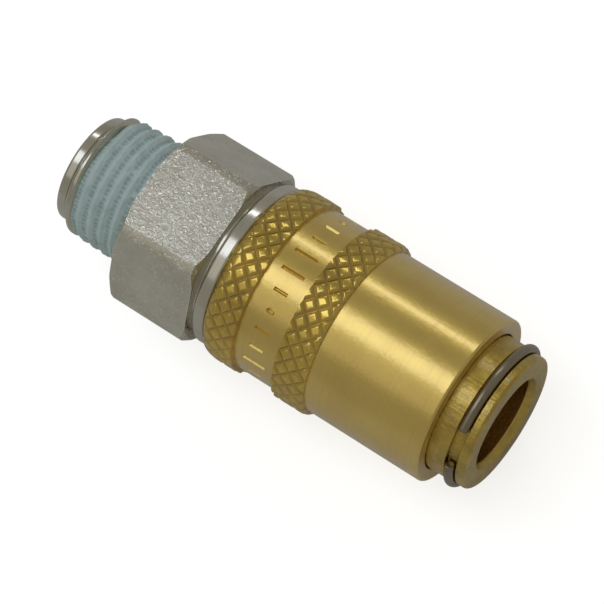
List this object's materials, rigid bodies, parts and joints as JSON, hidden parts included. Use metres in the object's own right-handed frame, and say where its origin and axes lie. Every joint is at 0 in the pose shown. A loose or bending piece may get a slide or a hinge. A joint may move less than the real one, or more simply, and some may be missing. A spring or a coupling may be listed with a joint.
{
  "type": "quick disconnect coupler",
  "caption": "Straight brass quick disconnect coupler socket with a knurled sliding sleeve, ball lock, spring valve, wrench hexagon and a taper pipe thread with sealant.",
  "frame": {"origin": "centre of the hexagon's rear face, where the pipe thread starts", "axes": "+X along the axis to the mouth that takes the plug, +Z square to a wrench flat"},
  "size_m": [0.0484, 0.019, 0.0184],
  "materials": {
    "nickel": "nickel plate over turned brass",
    "sealant": "dry pale blue-green thread sealant",
    "body_brass": "turned bare brass",
    "sleeve_brass": "satin brass, knurled bands",
    "ring_wire": "oil-darkened spring wire",
    "spring_steel": "drawn spring steel",
    "seal_rubber": "matte nitrile rubber",
    "valve_brass": "turned brass, dulled by oil",
    "ball_steel": "polished bearing steel"
  },
  "bodies": {
    "coupler_body": {"hex_body": "nickel", "thread_sealant": "sealant", "socket_body": "body_brass", "body_gasket": "seal_rubber", "plug_seal": "seal_rubber", "snap_ring": "ring_wire", "valve_guide": "valve_brass", "sleeve_spring": "spring_steel", "valve_spring": "spring_steel"},
    "sleeve_carrier": {"spring_ring": "spring_steel"},
    "sleeve": {"sleeve": "sleeve_brass"},
    "valve": {"valve_collar": "valve_brass", "valve_poppet": "valve_brass", "valve_seal": "seal_rubber"},
    "ball_1": {"locking_ball_1": "ball_steel"},
    "ball_2": {"locking_ball_2": "ball_steel"},
    "ball_3": {"locking_ball_3": "ball_steel"},
    "ball_4": {"locking_ball_4": "ball_steel"},
    "ball_5": {"locking_ball_5": "ball_steel"},
    "ball_6": {"locking_ball_6": "ball_steel"}
  },
  "joints": [
    {"name": "sleeve_slide", "type": "slide", "parent": "coupler_body", "child": "sleeve_carrier", "axis": [1, 0, 0], "range_m": [0, 0.002], "stiffness_N_per_m": 300, "springref_m": -0.008, "deforming": ["sleeve_spring"]},
    {"name": "sleeve_spin", "type": "hinge", "parent": "sleeve_carrier", "child": "sleeve", "pos_m": [0.0236, 0, 0], "axis": [1, 0, 0], "continuous": true},
    {"name": "valve_slide", "type": "slide", "parent": "coupler_body", "child": "valve", "axis": [-1, 0, 0], "range_m": [0, 0.005], "deforming": ["valve_spring"]},
    {"name": "ball_1_in", "type": "slide", "parent": "coupler_body", "child": "ball_1", "axis": [0, -1, 0], "range_m": [0, 0.0005]},
    {"name": "ball_2_in", "type": "slide", "parent": "coupler_body", "child": "ball_2", "axis": [0, -0.5, -0.866], "range_m": [0, 0.0005]},
    {"name": "ball_3_in", "type": "slide", "parent": "coupler_body", "child": "ball_3", "axis": [0, 0.5, -0.866], "range_m": [0, 0.0005]},
    {"name": "ball_4_in", "type": "slide", "parent": "coupler_body", "child": "ball_4", "axis": [0, 1, 0], "range_m": [0, 0.0005]},
    {"name": "ball_5_in", "type": "slide", "parent": "coupler_body", "child": "ball_5", "axis": [0, 0.5, 0.866], "range_m": [0, 0.0005]},
    {"name": "ball_6_in", "type": "slide", "parent": "coupler_body", "child": "ball_6", "axis": [0, -0.5, 0.866], "range_m": [0, 0.0005]}
  ],
  "couplings": [
    {"joint": "valve_slide", "follows": "sleeve_slide", "ratio": 2.5},
    {"joint": "ball_1_in", "follows": "sleeve_slide", "ratio": 0.25},
    {"joint": "ball_2_in", "follows": "sleeve_slide", "ratio": 0.25},
    {"joint": "ball_3_in", "follows": "sleeve_slide", "ratio": 0.25},
    {"joint": "ball_4_in", "follows": "sleeve_slide", "ratio": 0.25},
    {"joint": "ball_5_in", "follows": "sleeve_slide", "ratio": 0.25},
    {"joint": "ball_6_in", "follows": "sleeve_slide", "ratio": 0.25}
  ]
}
